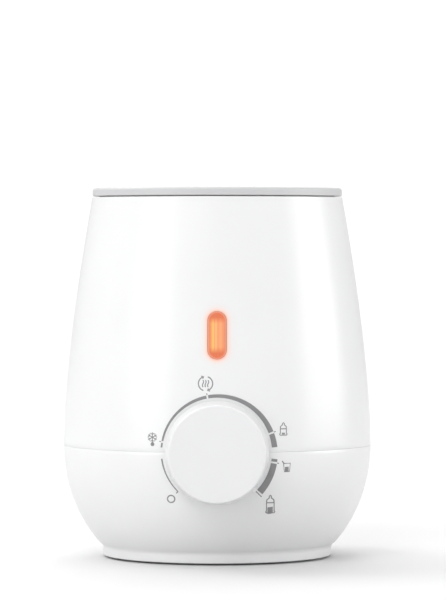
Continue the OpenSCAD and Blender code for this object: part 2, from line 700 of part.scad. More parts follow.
ribbon_w = 12;
ribbon_t = 0.8;
ribbon_y = control_front_y + 2.4;
ribbon_z = power_top_z + 1.6;
module ribbon_cable() color([0.75, 0.75, 0.72]) {
    bend = 5;
    from_y = power_board_d / 2 - 2.5 - connector_d / 2;
    line = concat([[-from_y - connector_d, ribbon_z]],
        arc([-ribbon_y + bend, ribbon_z + bend], bend, 270, 180, 8), [[-ribbon_y, control_low_z + 1]]);
    translate([-ribbon_w / 2, 0, 0]) rotate([90, 0, 90])
        linear_extrude(height = ribbon_w) polygon(concat(line, reversed(beside(line, ribbon_t))));
}
module ribbon_connectors() color([0.92, 0.9, 0.85]) {
    translate([0, -power_board_d / 2 + 2.5, power_top_z]) block([ribbon_w + 2, connector_d, 3.6]);
    facing_front(control_front_y, control_low_z + 3.4) block([ribbon_w + 2, connector_d, 3.8]);
}
solder = 0.2;                                 // gap that the solder fills at a lead's end
module heater_lead(side, colour) color(colour) {
    a = 90 - side * (element_gap_angle + 6);
    pin = [element_ring_r * cos(a), element_ring_r * sin(a), pin_z - solder];
    tab = [side * 2 - 3, power_board_d / 2 - 1.9, power_top_z + solder];
    swept(lead_path(pin, pin - [0, 0, 3.5], tab + [0, 0, 5], tab), lead_r);
}
module heater_lead_live() heater_lead(1, [0.8, 0.25, 0.15]);
module heater_lead_neutral() heater_lead(-1, [0.2, 0.3, 0.7]);
module sensor_lead() color([0.85, 0.85, 0.8]) {
    start = [sensor_x, 0, sensor_flange_z - solder];
    behind_filter = filter_y + filter_d / 2;
    end_y = behind_filter + 0.2968 * (block_y - block_d / 2 - behind_filter);
    end = [8.5, end_y, power_top_z + solder];
    swept(lead_path(start, [sensor_x, 0, shield_z - 6], end + [0, 0, 7], end), 0.7, 8);
}

// ---- mains inlet ---------------------------------------------------------------

module cord_gland() color([0.9, 0.9, 0.9]) translate([0, pocket_y - gland_in, gland_z]) rotate([-90, 0, 0])
    difference() {
        union() {
            cylinder(r = gland_r, h = gland_in);
            translate([0, 0, gland_in]) cylinder(r = gland_flange_r, h = 1.4);
            translate([0, 0, gland_in]) cylinder(r1 = gland_r, r2 = gland_r - 0.5, h = gland_out);
            translate([0, 0, gland_in - pocket_wall - 1.3]) cylinder(r = gland_r + 0.9, h = 1.1);
        }
        translate([0, 0, -cut]) cylinder(r = gland_bore_d / 2, h = gland_in + gland_out + 2 * cut);
    }
module cord_clamp() color([0.25, 0.25, 0.27]) difference() {
    translate([0, clamp_y, clamp_low_z]) block([2 * clamp_x + 6.5, 6.5, 3.4]);
    translate([0, clamp_y - 5, clamp_low_z]) rotate([-90, 0, 0]) cylinder(r = 2.4, h = 10);
    for (x = [-1, 1]) translate([x * clamp_x, clamp_y, clamp_low_z - cut])
        cylinder(r = small_screw_r + screw_slack, h = 6);
}

// ---- fasteners -----------------------------------------------------------------

module cover_screws() color([0.6, 0.6, 0.62]) at_angles(leg_angles, leg_ring_r)
    translate([0, 0, foot_lift + 3]) screw(screw_r, screw_head_r, screw_head_h, 13);
module rim_screws() color([0.6, 0.6, 0.62]) at_angles(ear_angles, rim_screw_ring_r)
    translate([0, 0, ledge_z - ledge_t])
        screw(screw_r, screw_head_r, screw_head_h, ledge_t + seal_t + flange_t + ring_t - 1.1);
module plate_screws() color([0.6, 0.6, 0.62]) at_angles(ear_angles, leg_ring_r)
    translate([0, 0, clamp_z]) screw(small_screw_r, small_head_r, small_head_h, clamp_t + 4);
module control_board_screws() color([0.6, 0.6, 0.62])
    for (x = [-1, 1], z = control_post[1]) facing_front(control_back_y, z, x * control_post[0])
        screw(small_screw_r, small_head_r, small_head_h, board_t + 5.5);
module screw_down(length) { mirror([0, 0, 1]) screw(small_screw_r, small_head_r, small_head_h, length); }
module power_board_screws() color([0.6, 0.6, 0.62])
    for (x = [-1, 1], y = [-1, 1]) translate([x * power_post[0], y * power_post[1], power_top_z])
        screw_down(power_top_z - cover_top_z - 0.6);
module cord_clamp_screws() color([0.6, 0.6, 0.62])
    for (x = [-1, 1]) translate([x * clamp_x, clamp_y, clamp_low_z + 3.4])
        screw_down(3.4 + clamp_low_z - cover_top_z - 0.6);

upper_casing();
lower_casing();
rim_ring();
rim_seal();
water_well();
well_base();
heater_plate();
plate_gasket();
clamp_ring();
heating_element();
heat_shield();
safety_thermostat();
temperature_sensor();
sensor_spring();
thermal_fuse();
bottom_cover();
anti_slip_ring();
rating_plate();
knob();
knob_clip();
knob_bush();
dial_shaft();
rotary_switch();
switch_rotor();
indicator_lens();
light_box();
indicator_leds();
control_board();
control_chip();
power_board();
relay();
filter_capacitor();
smoothing_capacitor();
mains_choke();
glass_fuse();
terminal_block();
ribbon_cable();
ribbon_connectors();
heater_lead_live();
heater_lead_neutral();
sensor_lead();
cord_gland();
cord_clamp();
cover_screws();
rim_screws();
plate_screws();
control_board_screws();
power_board_screws();
cord_clamp_screws();
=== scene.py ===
"""Bottle warmer: visible pieces, finishes, studio and camera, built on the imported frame."""
import json
import math

import bpy
from bpy.props import FloatProperty, FloatVectorProperty, PointerProperty
from mathutils import Matrix, Vector


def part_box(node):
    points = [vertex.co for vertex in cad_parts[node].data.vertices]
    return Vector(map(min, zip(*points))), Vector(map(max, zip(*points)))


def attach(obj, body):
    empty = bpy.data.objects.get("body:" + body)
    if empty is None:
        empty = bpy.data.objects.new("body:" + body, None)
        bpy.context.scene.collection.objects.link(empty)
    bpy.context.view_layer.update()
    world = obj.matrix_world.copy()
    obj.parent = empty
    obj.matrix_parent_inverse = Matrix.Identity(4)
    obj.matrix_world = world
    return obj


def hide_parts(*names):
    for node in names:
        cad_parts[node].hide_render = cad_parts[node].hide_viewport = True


bl_info = {
    "name": "Bottle warmer",
    "version": (1, 0, 0),
    "blender": (4, 5, 0),
    "location": "3D View > Sidebar > Bottle warmer",
    "description": "Builds a round bottle warmer with its dial, lit window and studio",
    "category": "Add Mesh",
}

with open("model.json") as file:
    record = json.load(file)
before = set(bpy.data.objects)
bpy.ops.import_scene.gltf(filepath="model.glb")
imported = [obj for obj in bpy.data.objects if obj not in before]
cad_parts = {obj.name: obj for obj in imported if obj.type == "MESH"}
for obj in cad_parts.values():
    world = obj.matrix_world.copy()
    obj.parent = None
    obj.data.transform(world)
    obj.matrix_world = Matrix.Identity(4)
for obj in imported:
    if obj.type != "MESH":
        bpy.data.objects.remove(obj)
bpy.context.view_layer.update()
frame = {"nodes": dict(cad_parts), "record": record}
MM = 0.001
FIT = 0.15 * MM                                 # gap between pieces that fit together
FOOT_EDGE = 0.5 * MM                            # rounding of the foot's lower edge
NECK = 2.4 * MM                                 # radius of the hollow above the foot
BUSH_HOLE = 7.15 * MM                           # radius of the hole for the knob's bush
CUP_RADIUS = 8.3 * MM                           # inside of the cup around the cord's inlet
CUP_WALL = 2 * MM
MOUTH = 38.4 * MM                               # radius of the rim ring's mouth
SHAFT_BORE = 3.05 * MM
CUTTER_DEPTH = 0.04
WINDOW_EMISSION = 0.78
HALO_EMISSION = 0.10                            # of the casing at the window's edge
HALO_FADE = 0.8 * MM                            # distance in which the halo drops to a third
SKY_SHOWN = 1.05                                # strength of the backdrop as the camera sees it


def cad_low(node):
    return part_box(node)[0]


def cad_high(node):
    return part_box(node)[1]


# ---- sizes and colours ---------------------------------------------------------

class CasingSettings(bpy.types.PropertyGroup):
    belly_radius: FloatProperty(
        name="Belly radius", description="Radius of the casing at the parting line",
        default=0.0625, unit="LENGTH")
    shoulder_radius: FloatProperty(
        name="Shoulder radius", description="Radius of the casing's top edge",
        default=0.0509, unit="LENGTH")
    foot_radius: FloatProperty(
        name="Foot radius", description="Radius of the foot's upright band",
        default=0.0465, unit="LENGTH")
    parting_height: FloatProperty(
        name="Parting height", description="Height of the line between the two shells",
        default=0.0457, unit="LENGTH")
    top_height: FloatProperty(
        name="Shell height", description="Height of the upper shell's top edge",
        default=cad_high("upper_casing").z, unit="LENGTH")
    foot_height: FloatProperty(
        name="Foot height", description="Height of the lower shell's bottom edge",
        default=cad_low("lower_casing").z, unit="LENGTH")
    band_height: FloatProperty(
        name="Band height", description="Height of the upright band of the foot",
        default=0.0029, unit="LENGTH")
    wall: FloatProperty(
        name="Wall", description="Thickness of the shells", default=0.0024, unit="LENGTH")
    parting_gap: FloatProperty(
        name="Parting gap", description="Gap that shows between the shells",
        default=0.00004, unit="LENGTH")
    colour: FloatVectorProperty(
        name="Colour", description="Colour of the moulded casing", subtype="COLOR",
        size=3, min=0, max=1, default=(0.83, 0.832, 0.836))
    ring_colour: FloatVectorProperty(
        name="Rim ring colour", description="Colour of the ring around the mouth",
        subtype="COLOR", size=3, min=0, max=1, default=(0.585, 0.588, 0.595))


class DialSettings(bpy.types.PropertyGroup):
    base_radius: FloatProperty(
        name="Base radius", description="Radius of the knob at its base",
        default=0.0204, unit="LENGTH")
    face_radius: FloatProperty(
        name="Face radius", description="Radius of the knob's flat face",
        default=0.0192, unit="LENGTH")
    edge: FloatProperty(
        name="Edge", description="Rounding of the edge of the knob's face",
        default=0.0008, unit="LENGTH")
    rest_angle: FloatProperty(
        name="Rest angle", description="Pointer's angle at rest, clockwise from the top",
        default=math.radians(135), unit="ROTATION")
    scale_radius: FloatProperty(
        name="Scale radius", description="Inner radius of the printed scale",
        default=0.02155, unit="LENGTH")
    scale_thin: FloatProperty(
        name="Scale at off", description="Width of the printed scale at the off end",
        default=0.00035, unit="LENGTH")
    scale_thick: FloatProperty(
        name="Scale at hottest", description="Width of the printed scale at the hot end",
        default=0.0027, unit="LENGTH")
    print_colour: FloatVectorProperty(
        name="Print colour", description="Colour of the printed scale and symbols",
        subtype="COLOR", size=3, min=0, max=1, default=(0.27, 0.27, 0.275))


class WindowSettings(bpy.types.PropertyGroup):
    width: FloatProperty(
        name="Width", description="Width of the lit window", default=0.0076, unit="LENGTH")
    height: FloatProperty(
        name="Height", description="Height of the lit window", default=0.019, unit="LENGTH")
    centre: FloatProperty(
        name="Middle", description="Height of the window's middle above the table",
        default=0.0916, unit="LENGTH")
    glow: FloatProperty(
        name="Glow", description="Brightness of the light behind the window", default=1.0, min=0)


class StudioSettings(bpy.types.PropertyGroup):
    distance: FloatProperty(
        name="Distance", description="Distance from the camera to the warmer's axis",
        default=1.5, unit="LENGTH")
    height: FloatProperty(
        name="Height", description="Height of the camera above the table",
        default=0.1308, unit="LENGTH")
    aside: FloatProperty(
        name="Aside", description="Distance of the camera to the right of the axis",
        default=0.00233, unit="LENGTH")
    pitch: FloatProperty(
        name="Pitch", description="Angle that the camera looks down",
        default=math.radians(1.008), unit="ROTATION")
    lens: FloatProperty(name="Lens", description="Focal length in millimetres", default=220.7)
    ambient: FloatProperty(
        name="Ambient", description="Strength of the light from all round", default=0.62)
    overhead: FloatProperty(
        name="Overhead", description="Strength of the light from above", default=0.5)
    front: FloatProperty(
        name="Front", description="Strength of the light from the front", default=0.8)
    key: FloatProperty(
        name="Key", description="Strength of the light that casts the shadow", default=0.85)
    back: FloatProperty(
        name="Back", description="Strength of the light from behind", default=0.95)
    left: FloatProperty(
        name="Left panel", description="Strength of the soft light on the left", default=0.55)
    right: FloatProperty(
        name="Right panel", description="Strength of the soft light on the right", default=1.12)
    paper: FloatProperty(
        name="Paper", description="Whiteness of the floor", default=0.725, min=0, max=1)
    bounce: FloatProperty(
        name="Bounce", description="Whiteness of the floor as it lights the warmer",
        default=0.64, min=0, max=1)


SETTINGS = {
    "warmer_casing": CasingSettings,
    "warmer_dial": DialSettings,
    "warmer_window": WindowSettings,
    "warmer_studio": StudioSettings,
}


# ---- outline of the casing -----------------------------------------------------

def bezier(points, t):
    a, b, c, d = points
    return tuple(
        (1 - t) ** 3 * a[i] + 3 * (1 - t) ** 2 * t * b[i] + 3 * (1 - t) * t * t * c[i] + t ** 3 * d[i]
        for i in (0, 1))


def taper_line(casing, count=56):
    """Outer line of the upper shell as (radius, height), from the parting line up."""
    tall = casing.top_height - casing.parting_height
    points = (
        (casing.belly_radius, casing.parting_height),
        (casing.belly_radius, casing.parting_height + 0.375 * tall),
        (casing.shoulder_radius + 0.7 * MM, casing.top_height - 0.048 * tall),
        (casing.shoulder_radius, casing.top_height))
    return [bezier(points, i / count) for i in range(count + 1)]


def bowl_line(casing, count=48):
    """Outer line of the lower shell as (radius, height), from above the foot to the parting line."""
    foot_z = casing.foot_height + casing.band_height + 2.3 * MM
    foot_r = casing.foot_radius + 1.5 * MM
    low = casing.parting_height
    points = (
        (foot_r, foot_z),
        (foot_r + 0.2 * MM, foot_z + 0.2 * MM),
        (casing.belly_radius, low - 0.64 * (low - foot_z)),
        (casing.belly_radius, low))
    return [bezier(points, i / count) for i in range(count + 1)]


def casing_radius(casing, z):
    line = bowl_line(casing) + taper_line(casing)[1:]
    for (r0, z0), (r1, z1) in zip(line, line[1:]):
        if z0 <= z <= z1:
            return r0 + (r1 - r0) * (z - z0) / (z1 - z0)
    return line[-1][0] if z > line[-1][1] else line[0][0]


def on_casing(casing, x, z, out=0.0):
    """Point on the casing's front, straight behind (x, z), moved out along the radius."""
    r = casing_radius(casing, z)
    moved = 1 + out / r
    return Vector((x * moved, -math.sqrt(r * r - x * x) * moved, z))


def beside(line, distance):
    """The same line moved to its left."""
    moved = []
    for i, (r, z) in enumerate(line):
        before, after = line[max(i - 1, 0)], line[min(i + 1, len(line) - 1)]
        run = Vector((after[0] - before[0], after[1] - before[1])).normalized()
        moved.append((r - run.y * distance, z + run.x * distance))
    return moved


def arc(centre, radius, start, stop, count=8):
    steps = [math.radians(start + (stop - start) * i / count) for i in range(count + 1)]
    return [(centre[0] + radius * math.cos(a), centre[1] + radius * math.sin(a)) for a in steps]


# ---- modelling -----------------------------------------------------------------

def start():
    if bpy.context.mode != "OBJECT":
        bpy.ops.object.mode_set(mode="OBJECT")
    bpy.ops.object.select_all(action="DESELECT")


def pick(piece):
    start()
    piece.select_set(True)
    bpy.context.view_layer.objects.active = piece


def trace(name, points, closed=False):
    """Draws a chain of edges by extruding one vertex from point to point."""
    start()
    bpy.ops.mesh.primitive_plane_add(size=0.01, location=(0, 0, 0))
    piece = bpy.context.object
    piece.name = name
    bpy.ops.object.mode_set(mode="EDIT")
    bpy.ops.mesh.select_mode(type="VERT")
    bpy.ops.mesh.select_all(action="SELECT")
    bpy.ops.mesh.merge(type="CENTER")
    here = Vector(points[0])
    bpy.ops.transform.translate(value=here)
    for point in points[1:]:
        step = Vector(point) - here
        bpy.ops.mesh.extrude_region_move(TRANSFORM_OT_translate={"value": step})
        here = Vector(point)
    bpy.ops.mesh.select_all(action="SELECT")
    if closed:
        bpy.ops.mesh.remove_doubles(threshold=1e-7)
    return piece


def turned(name, outline, place=Matrix.Identity(4), steps=144):
    """Spins a closed outline of (radius, height) about the local Z axis of a place."""
    points = [place @ Vector((r, 0, h)) for r, h in outline]
    if outline[0][0] > 1e-6 or outline[-1][0] > 1e-6:
        points.append(points[0])
    piece = trace(name, points, closed=True)
    bpy.ops.mesh.spin(
        steps=steps, angle=2 * math.pi, center=place.translation, axis=place.to_3x3() @ Vector((0, 0, 1)))
    bpy.ops.mesh.select_all(action="SELECT")
    bpy.ops.mesh.remove_doubles(threshold=1e-6)
    bpy.ops.mesh.normals_make_consistent(inside=False)
    bpy.ops.object.mode_set(mode="OBJECT")
    return piece


def apply_modifier(piece, kind, **settings):
    pick(piece)
    modifier = piece.modifiers.new(kind.title(), kind)
    for key, value in settings.items():
        setattr(modifier, key, value)
    bpy.ops.object.modifier_apply(modifier=modifier.name)


def cut_with(piece, cutter, operation="DIFFERENCE"):
    apply_modifier(piece, "BOOLEAN", object=cutter, operation=operation, solver="EXACT")
    bpy.data.objects.remove(cutter)


def capsule(name, width, height, centre, depth):
    """Prism with round ends, standing up and running along Y."""
    start()
    bpy.ops.mesh.primitive_cylinder_add(
        vertices=64, radius=width / 2, depth=depth, location=centre, rotation=(math.pi / 2, 0, 0))
    piece = bpy.context.object
    piece.name = name
    bpy.ops.object.transform_apply(location=True, rotation=True, scale=True)
    for side in (-1, 1):
        bpy.ops.object.mode_set(mode="OBJECT")
        for vertex in piece.data.vertices:
            vertex.select = side * (vertex.co.z - centre[2]) > width * 0.01
        for edge in piece.data.edges:
            edge.select = all(piece.data.vertices[v].select for v in edge.vertices)
        for face in piece.data.polygons:
            face.select = all(piece.data.vertices[v].select for v in face.vertices)
        bpy.ops.object.mode_set(mode="EDIT")
        bpy.ops.transform.translate(value=(0, 0, side * (height - width) / 2))
    bpy.ops.object.mode_set(mode="OBJECT")
    return piece


def finish_piece(piece, body, finish, smooth=32, replaces=()):
    pick(piece)
    bpy.ops.object.transform_apply(location=True, rotation=True, scale=True)
    bpy.ops.object.shade_smooth_by_angle(angle=math.radians(smooth))
    piece.data.materials.clear()
    piece.data.materials.append(finish)
    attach(piece, body)
    if replaces:
        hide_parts(*replaces)
    return piece


def pad_print(name, casing, line, width):
    """A printed line: a round strand sunk in the wall until it is as wide as the print."""
    strand = width * 1.02
    sink = math.sqrt(strand ** 2 - (width / 2) ** 2)
    piece = trace(name, [on_casing(casing, x, z, -sink) for x, z in line])
    bpy.ops.object.mode_set(mode="OBJECT")
    bpy.ops.object.convert(target="CURVE")
    piece = bpy.context.object
    piece.data.bevel_depth = strand
    piece.data.bevel_resolution = 6
    piece.data.use_fill_caps = True
    bpy.ops.object.convert(target="MESH")
    return bpy.context.object


def joined(name, pieces):
    start()
    for piece in pieces:
        piece.select_set(True)
    bpy.context.view_layer.objects.active = pieces[0]
    bpy.ops.object.join()
    whole = bpy.context.object
    whole.name = name
    return whole


# ---- finishes ------------------------------------------------------------------

class Finish:
    """A node material, with short calls for the nodes that the finishes share."""

    def __init__(self, name, colour, roughness=0.4, metallic=0.0, specular=0.5, alpha=1.0, coat=0.0):
        self.material = bpy.data.materials.new(name)
        self.material.use_nodes = True
        self.nodes = self.material.node_tree.nodes
        self.links = self.material.node_tree.links
        self.shader = self.nodes["Principled BSDF"]
        self.shader.inputs["Base Color"].default_value = (*colour, 1)
        self.shader.inputs["Roughness"].default_value = roughness
        self.shader.inputs["Metallic"].default_value = metallic
        self.shader.inputs["Specular IOR Level"].default_value = specular
        self.shader.inputs["Alpha"].default_value = alpha
        self.shader.inputs["Coat Weight"].default_value = coat
        self.position = self.nodes.new("ShaderNodeTexCoord").outputs["Object"]

    def put(self, value, socket):
        if isinstance(value, bpy.types.NodeSocket):
            self.links.new(value, socket)
        else:
            socket.default_value = value

    def math(self, operation, a, b=0.0, clamp=False):
        node = self.nodes.new("ShaderNodeMath")
        node.operation = operation
        node.use_clamp = clamp
        self.put(a, node.inputs[0])
        self.put(b, node.inputs[1])
        return node.outputs[0]

    def axis(self, name):
        split = self.nodes.new("ShaderNodeSeparateXYZ")
        self.links.new(self.position, split.inputs[0])
        return split.outputs[name]

    def noise(self, scale, detail=3.0, stretch=(1, 1, 1)):
        mapping = self.nodes.new("ShaderNodeMapping")
        mapping.inputs["Scale"].default_value = stretch
        self.links.new(self.position, mapping.inputs["Vector"])
        node = self.nodes.new("ShaderNodeTexNoise")
        node.inputs["Scale"].default_value = scale
        node.inputs["Detail"].default_value = detail
        self.links.new(mapping.outputs[0], node.inputs["Vector"])
        return node.outputs["Fac"]

    def spread_over(self, value, low, high):
        """Turns 0 to 1 into low to high."""
        node = self.nodes.new("ShaderNodeMapRange")
        node.inputs["To Min"].default_value = low
        node.inputs["To Max"].default_value = high
        self.links.new(value, node.inputs["Value"])
        return node.outputs[0]

    def fraction(self, value, low, high):
        """How far a value is from low to high, as 0 to 1."""
        node = self.nodes.new("ShaderNodeMapRange")
        node.inputs["From Min"].default_value = low
        node.inputs["From Max"].default_value = high
        self.links.new(value, node.inputs["Value"])
        return node.outputs[0]

    def ramp(self, value, stops):
        node = self.nodes.new("ShaderNodeValToRGB")
        ramp = node.color_ramp
        while len(ramp.elements) < len(stops):
            ramp.elements.new(0.5)
        for element, (place, colour) in zip(ramp.elements, stops):
            element.position = place
            element.color = (*colour, 1)
        self.links.new(value, node.inputs[0])
        return node.outputs[0]

    def mix(self, factor, first, second):
        node = self.nodes.new("ShaderNodeMix")
        node.data_type = "RGBA"
        self.put(factor, node.inputs["Factor"])
        self.put(first, node.inputs[6])
        self.put(second, node.inputs[7])
        return node.outputs[2]

    def past_window(self, window):
        """Distance outside the window's edge, negative inside it."""
        x = self.axis("X")
        z = self.math("ABSOLUTE", self.math("SUBTRACT", self.axis("Z"), window.centre))
        up = self.math("MAXIMUM", self.math("SUBTRACT", z, (window.height - window.width) / 2), 0.0)
        away = self.math("SQRT", self.math(
            "ADD", self.math("MULTIPLY", x, x), self.math("MULTIPLY", up, up)))
        return self.math("SUBTRACT", away, window.width / 2)

    def vary(self, colour, scale, amount):
        """Colour that wanders a little over the surface."""
        dark = tuple(c * (1 - amount) for c in colour)
        self.links.new(
            self.ramp(self.noise(scale), ((0.3, dark), (0.7, colour))),
            self.shader.inputs["Base Color"])

    def roughen(self, scale, low, high, stretch=(1, 1, 1)):
        self.links.new(
            self.spread_over(self.noise(scale, stretch=stretch), low, high),
            self.shader.inputs["Roughness"])

    def bump(self, height, strength, distance):
        node = self.nodes.new("ShaderNodeBump")
        node.inputs["Strength"].default_value = strength
        node.inputs["Distance"].default_value = distance
        self.links.new(height, node.inputs["Height"])
        self.links.new(node.outputs[0], self.shader.inputs["Normal"])


def moulded(name, colour, roughness=0.4, grain=2600, depth=0.000015):
    """Injection-moulded plastic with a fine eroded texture."""
    finish = Finish(name, colour, roughness)
    finish.vary(colour, 45, 0.012)
    finish.roughen(900, roughness - 0.04, roughness + 0.05)
    finish.bump(finish.noise(grain, 2), 0.25, depth)
    return finish


def casing_plastic(window, colour):
    """Casing plastic, tinted where the window's light bleeds into the wall around it."""
    finish = moulded("casing_plastic", colour, 0.3)
    finish.shader.inputs["Coat Weight"].default_value = 0.35
    finish.shader.inputs["Coat Roughness"].default_value = 0.25
    edge = finish.math("MAXIMUM", finish.past_window(window), 0.0)
    fade = finish.math("POWER", 2.718, finish.math("MULTIPLY", edge, -1 / HALO_FADE))
    front = finish.math("LESS_THAN", finish.axis("Y"), 0.0)
    glow = finish.math("MULTIPLY", fade, front)
    base = finish.shader.inputs["Base Color"].links[0].from_socket
    tinted = finish.mix(glow, base, (0.95, 0.5, 0.36, 1))
    finish.links.new(tinted, finish.shader.inputs["Base Color"])
    finish.shader.inputs["Emission Color"].default_value = (1.0, 0.28, 0.1, 1)
    finish.links.new(
        finish.math("MULTIPLY", glow, HALO_EMISSION * window.glow), finish.shader.inputs["Emission Strength"])
    return finish.material


def lit_window(window):
    """Fluted window: bright in the middle, deep red at its ends and rim."""
    finish = Finish("lit_window", (0.2, 0.05, 0.02), 0.25, coat=0.2)
    half = window.width / 2
    across = finish.fraction(finish.axis("X"), -half, half)
    stripes = finish.ramp(across, (
        (0.0, (0.55, 0.16, 0.08)), (0.12, (0.70, 0.25, 0.13)), (0.24, (0.84, 0.40, 0.10)),
        (0.30, (0.98, 0.58, 0.18)), (0.37, (0.78, 0.32, 0.13)), (0.44, (0.96, 0.52, 0.20)),
        (0.54, (0.80, 0.31, 0.13)), (0.66, (0.90, 0.40, 0.18)), (0.86, (0.76, 0.28, 0.13)),
        (1.0, (0.55, 0.16, 0.08))))
    z = finish.math("ABSOLUTE", finish.math("SUBTRACT", finish.axis("Z"), window.centre))
    ends = finish.math("SUBTRACT", z, window.height * 0.24)
    redden = finish.math("MULTIPLY", ends, 1 / (window.height * 0.13), clamp=True)
    colour = finish.mix(redden, stripes, (0.68, 0.17, 0.07, 1))
    past = finish.past_window(window)
    bevel = finish.fraction(past, -0.85 * MM, -0.55 * MM)
    colour = finish.mix(finish.math("MULTIPLY", bevel, 0.75), colour, (0.80, 0.33, 0.23, 1))
    rim = finish.fraction(past, -0.4 * MM, -0.2 * MM)
    colour = finish.mix(finish.math("MULTIPLY", rim, 0.8), colour, (0.50, 0.28, 0.23, 1))
    finish.links.new(finish.mix(0.75, colour, (0.12, 0.02, 0.01, 1)), finish.shader.inputs["Base Color"])
    finish.links.new(colour, finish.shader.inputs["Emission Color"])
    finish.shader.inputs["Emission Strength"].default_value = WINDOW_EMISSION * window.glow
    flutes = finish.nodes.new("ShaderNodeTexWave")
    flutes.inputs["Scale"].default_value = 260
    finish.links.new(finish.position, flutes.inputs["Vector"])
    finish.bump(flutes.outputs["Fac"], 0.5, 0.0002)
    return finish.material


def metal(name, colour, roughness=0.3, stretch=(1, 1, 1), scale=900):
    finish = Finish(name, colour, roughness, metallic=1.0)
    finish.vary(colour, 60, 0.08)
    finish.roughen(scale, roughness - 0.08, roughness + 0.12, stretch)
    finish.bump(finish.noise(scale, 2, stretch), 0.2, 0.00002)
    return finish


def rubber(name, colour, roughness=0.65):
    finish = Finish(name, colour, roughness, specular=0.3)
    finish.vary(colour, 80, 0.1)
    finish.roughen(700, roughness - 0.05, roughness + 0.1)
    finish.bump(finish.noise(1800, 3), 0.4, 0.00003)
    return finish


# ---- operators -----------------------------------------------------------------

class WARMER_OT_stage(bpy.types.Operator):
    """Add the floor, the soft lights and the camera"""
    bl_idname = "warmer.stage"
    bl_label = "Stage"

    def execute(self, context):
        studio = context.scene.warmer_studio
        start()
        bpy.ops.mesh.primitive_plane_add(size=12, location=(0, 0, 0))
        floor = context.object
        floor.name = "floor"
        paper = Finish("white_paper", (studio.paper,) * 3, 0.7, specular=0.2)
        paper.vary((studio.paper,) * 3, 3, 0.004)
        seen = paper.nodes.new("ShaderNodeLightPath").outputs["Is Camera Ray"]
        colour = paper.shader.inputs["Base Color"]
        paper.links.new(paper.mix(seen, (*(studio.bounce,) * 3, 1), colour.links[0].from_socket), colour)
        floor.data.materials.append(paper.material)

        self.sky(context)
        # name, degrees round from the front, degrees up, width in degrees, strength
        for name, turn, rise, spread, power in (
                ("overhead", 0, 86, 80, studio.overhead),
                ("front", -22, 40, 32, studio.front),
                ("key", -118, 50, 32, studio.key),
                ("back", -175, 50, 44, studio.back),
                ("left_panel", -52, 8, 32, studio.left),
                ("right_panel", 90, 6, 40, studio.right)):
            bpy.ops.object.light_add(type="SUN", location=(0, 0, 2))
            light = context.object
            light.name = name
            light.data.angle = math.radians(spread)
            light.data.energy = power
            turn, rise = math.radians(turn), math.radians(rise)
            towards = Vector((
                math.sin(turn) * math.cos(rise), -math.cos(turn) * math.cos(rise), math.sin(rise)))
            light.rotation_euler = towards.to_track_quat("Z", "Y").to_euler()
        context.scene.view_settings.view_transform = "Standard"

        bpy.ops.object.camera_add(
            location=(studio.aside, -studio.distance, studio.height),
            rotation=(math.pi / 2 - studio.pitch, 0, 0))
        camera = context.object
        camera.name = "camera"
        camera.data.lens = studio.lens
        camera.data.sensor_width = 36
        context.scene.camera = camera
        return {"FINISHED"}

    def sky(self, context):
        """A white backdrop that lights the object less than it shows."""
        studio = context.scene.warmer_studio
        world = bpy.data.worlds.new("studio")
        context.scene.world = world
        world.use_nodes = True
        nodes, links = world.node_tree.nodes, world.node_tree.links
        shown = nodes["Background"]
        shown.inputs["Color"].default_value = (1, 1, 1, 1)
        shown.inputs["Strength"].default_value = SKY_SHOWN
        lighting = nodes.new("ShaderNodeBackground")
        lighting.inputs["Color"].default_value = (1, 1, 1, 1)
        lighting.inputs["Strength"].default_value = studio.ambient
        ray = nodes.new("ShaderNodeLightPath")
        mix = nodes.new("ShaderNodeMixShader")
        links.new(ray.outputs["Is Camera Ray"], mix.inputs[0])
        links.new(lighting.outputs[0], mix.inputs[1])
        links.new(shown.outputs[0], mix.inputs[2])
        links.new(mix.outputs[0], nodes["World Output"].inputs["Surface"])


